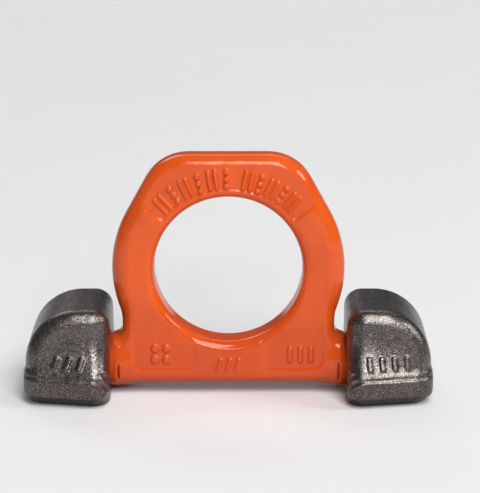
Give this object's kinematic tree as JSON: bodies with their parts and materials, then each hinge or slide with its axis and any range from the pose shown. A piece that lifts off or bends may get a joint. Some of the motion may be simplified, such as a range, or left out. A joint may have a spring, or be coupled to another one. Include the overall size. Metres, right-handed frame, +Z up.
{
  "type": "weld-on load ring",
  "caption": "Upright forged load ring with a round eye, turning on side trunnions held in two quarter-round weld-on blocks.",
  "frame": {"origin": "middle of the weld plane, midway between the two weld blocks", "axes": "+X along the trunnion axis, -Y towards the front, +Z up out of the welded surface through the upright ring"},
  "size_m": [0.1318, 0.0468, 0.0792],
  "materials": {
    "ring_paint": "gloss",
    "block_steel": "satin, forged",
    "spring_steel": "satin"
  },
  "bodies": {
    "weld_blocks": {"left_weld_block": "block_steel", "right_weld_block": "block_steel", "left_clamp_spring": "spring_steel", "right_clamp_spring": "spring_steel"},
    "ring": {"load_ring": "ring_paint"}
  },
  "joints": [
    {"name": "ring_swing", "type": "hinge", "parent": "weld_blocks", "child": "ring", "pos_m": [0, 0, 0.0099], "axis": [1, 0, 0], "range_deg": [-90, 90]}
  ]
}
